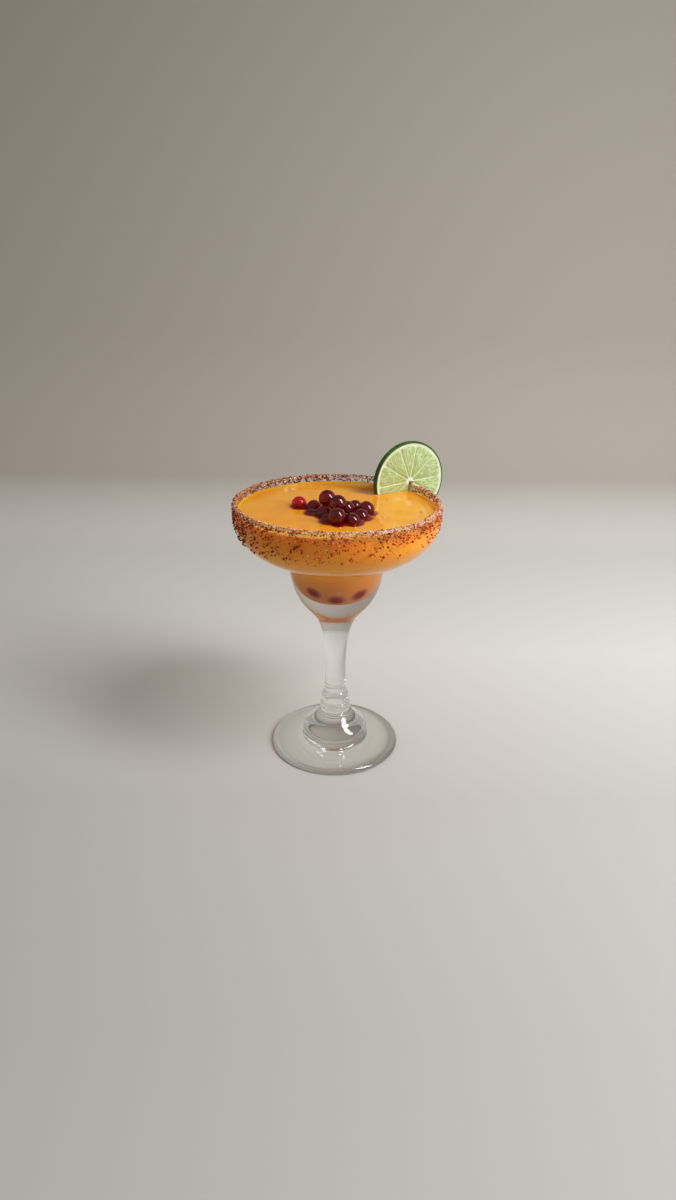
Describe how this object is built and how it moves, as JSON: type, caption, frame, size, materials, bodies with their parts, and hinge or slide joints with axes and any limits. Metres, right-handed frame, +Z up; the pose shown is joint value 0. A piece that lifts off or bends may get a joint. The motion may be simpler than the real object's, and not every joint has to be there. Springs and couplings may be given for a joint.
{
  "type": "margarita cocktail",
  "caption": "Stemmed coupette glass of orange margarita with a chilli-salt rim, a lime wheel on the edge and a heap of dark red juice pearls in the middle.",
  "frame": {"origin": "centre of the foot's flat underside, on the axis of the glass", "axes": "+Z up along the stem; -Y towards the viewer of the picture, +X to the viewer's right, where the lime wheel sits"},
  "size_m": [0.1195, 0.1146, 0.1793],
  "materials": {
    "glass": "clear pressed soda-lime glass, with grains of chilli and salt stuck to the rim",
    "drink": "cloudy orange fruit drink, wet and level",
    "lime": "wet cut lime with a dark green rind",
    "pearl": "glossy dark red juice-filled skin"
  },
  "bodies": {
    "root": {"glass": "glass", "drink": "drink", "lime_wheel": "lime", "pearl_01": "pearl", "pearl_02": "pearl", "pearl_03": "pearl", "pearl_04": "pearl", "pearl_05": "pearl", "pearl_06": "pearl", "pearl_07": "pearl", "pearl_08": "pearl", "pearl_09": "pearl", "pearl_10": "pearl", "pearl_11": "pearl", "pearl_12": "pearl", "pearl_13": "pearl", "pearl_14": "pearl", "pearl_15": "pearl"}
  },
  "joints": []
}
